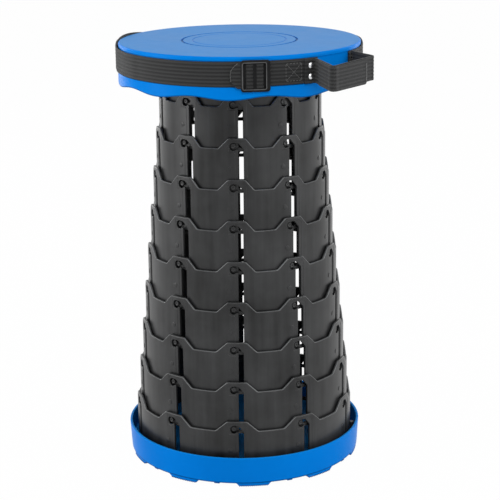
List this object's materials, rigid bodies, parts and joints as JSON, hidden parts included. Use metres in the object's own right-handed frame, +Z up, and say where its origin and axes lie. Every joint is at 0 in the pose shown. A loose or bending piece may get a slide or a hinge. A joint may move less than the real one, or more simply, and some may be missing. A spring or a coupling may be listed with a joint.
{
  "type": "collapsible telescopic stool",
  "caption": "Round collapsible stool: nested slotted rings slide up between a base tray and a round seat that has a webbing strap and a carrying loop round it.",
  "frame": {"origin": "on the floor, on the stool's axis", "axes": "+Z up along the stool's axis, -Y towards the side with the slide adjuster, +X to the right seen from there"},
  "size_m": [0.2582, 0.2703, 0.45],
  "materials": {
    "black_plastic": "moulded, semi-matte",
    "blue_plastic": "moulded, glossy",
    "webbing": "flat woven, ribbed lengthwise",
    "black_gloss": "moulded, glossy",
    "steel": "bright"
  },
  "bodies": {
    "base": {"base_tray": "blue_plastic", "base_screw_1": "steel", "base_screw_2": "steel", "base_screw_3": "steel", "base_screw_4": "steel", "base_screw_5": "steel", "ring_10": "black_plastic"},
    "stage_09": {"ring_09": "black_plastic"},
    "stage_08": {"ring_08": "black_plastic"},
    "stage_07": {"ring_07": "black_plastic"},
    "stage_06": {"ring_06": "black_plastic"},
    "stage_05": {"ring_05": "black_plastic"},
    "stage_04": {"ring_04": "black_plastic"},
    "stage_03": {"ring_03": "black_plastic"},
    "stage_02": {"ring_02": "black_plastic"},
    "seat": {"ring_01": "black_plastic", "seat_cover": "blue_plastic", "seat_screw_1": "steel", "seat_screw_2": "steel", "seat_screw_3": "steel", "seat_screw_4": "steel", "seat_screw_5": "steel", "strap_band": "webbing", "strap_tail": "webbing", "slide_adjuster": "black_gloss", "carry_loop": "webbing", "rivet_front_upper": "steel", "rivet_front_lower": "steel", "rivet_rear_upper": "steel", "rivet_rear_lower": "steel"}
  },
  "joints": [
    {"name": "slide_09", "type": "slide", "parent": "base", "child": "stage_09", "axis": [0, 0, 1], "range_m": [-0.0415, 0]},
    {"name": "slide_08", "type": "slide", "parent": "stage_09", "child": "stage_08", "axis": [0, 0, 1], "range_m": [-0.0415, 0]},
    {"name": "slide_07", "type": "slide", "parent": "stage_08", "child": "stage_07", "axis": [0, 0, 1], "range_m": [-0.0415, 0]},
    {"name": "slide_06", "type": "slide", "parent": "stage_07", "child": "stage_06", "axis": [0, 0, 1], "range_m": [-0.0415, 0]},
    {"name": "slide_05", "type": "slide", "parent": "stage_06", "child": "stage_05", "axis": [0, 0, 1], "range_m": [-0.0415, 0]},
    {"name": "slide_04", "type": "slide", "parent": "stage_05", "child": "stage_04", "axis": [0, 0, 1], "range_m": [-0.0415, 0]},
    {"name": "slide_03", "type": "slide", "parent": "stage_04", "child": "stage_03", "axis": [0, 0, 1], "range_m": [-0.0415, 0]},
    {"name": "slide_02", "type": "slide", "parent": "stage_03", "child": "stage_02", "axis": [0, 0, 1], "range_m": [-0.0415, 0]},
    {"name": "slide_01", "type": "slide", "parent": "stage_02", "child": "seat", "axis": [0, 0, 1], "range_m": [-0.0415, 0]}
  ]
}
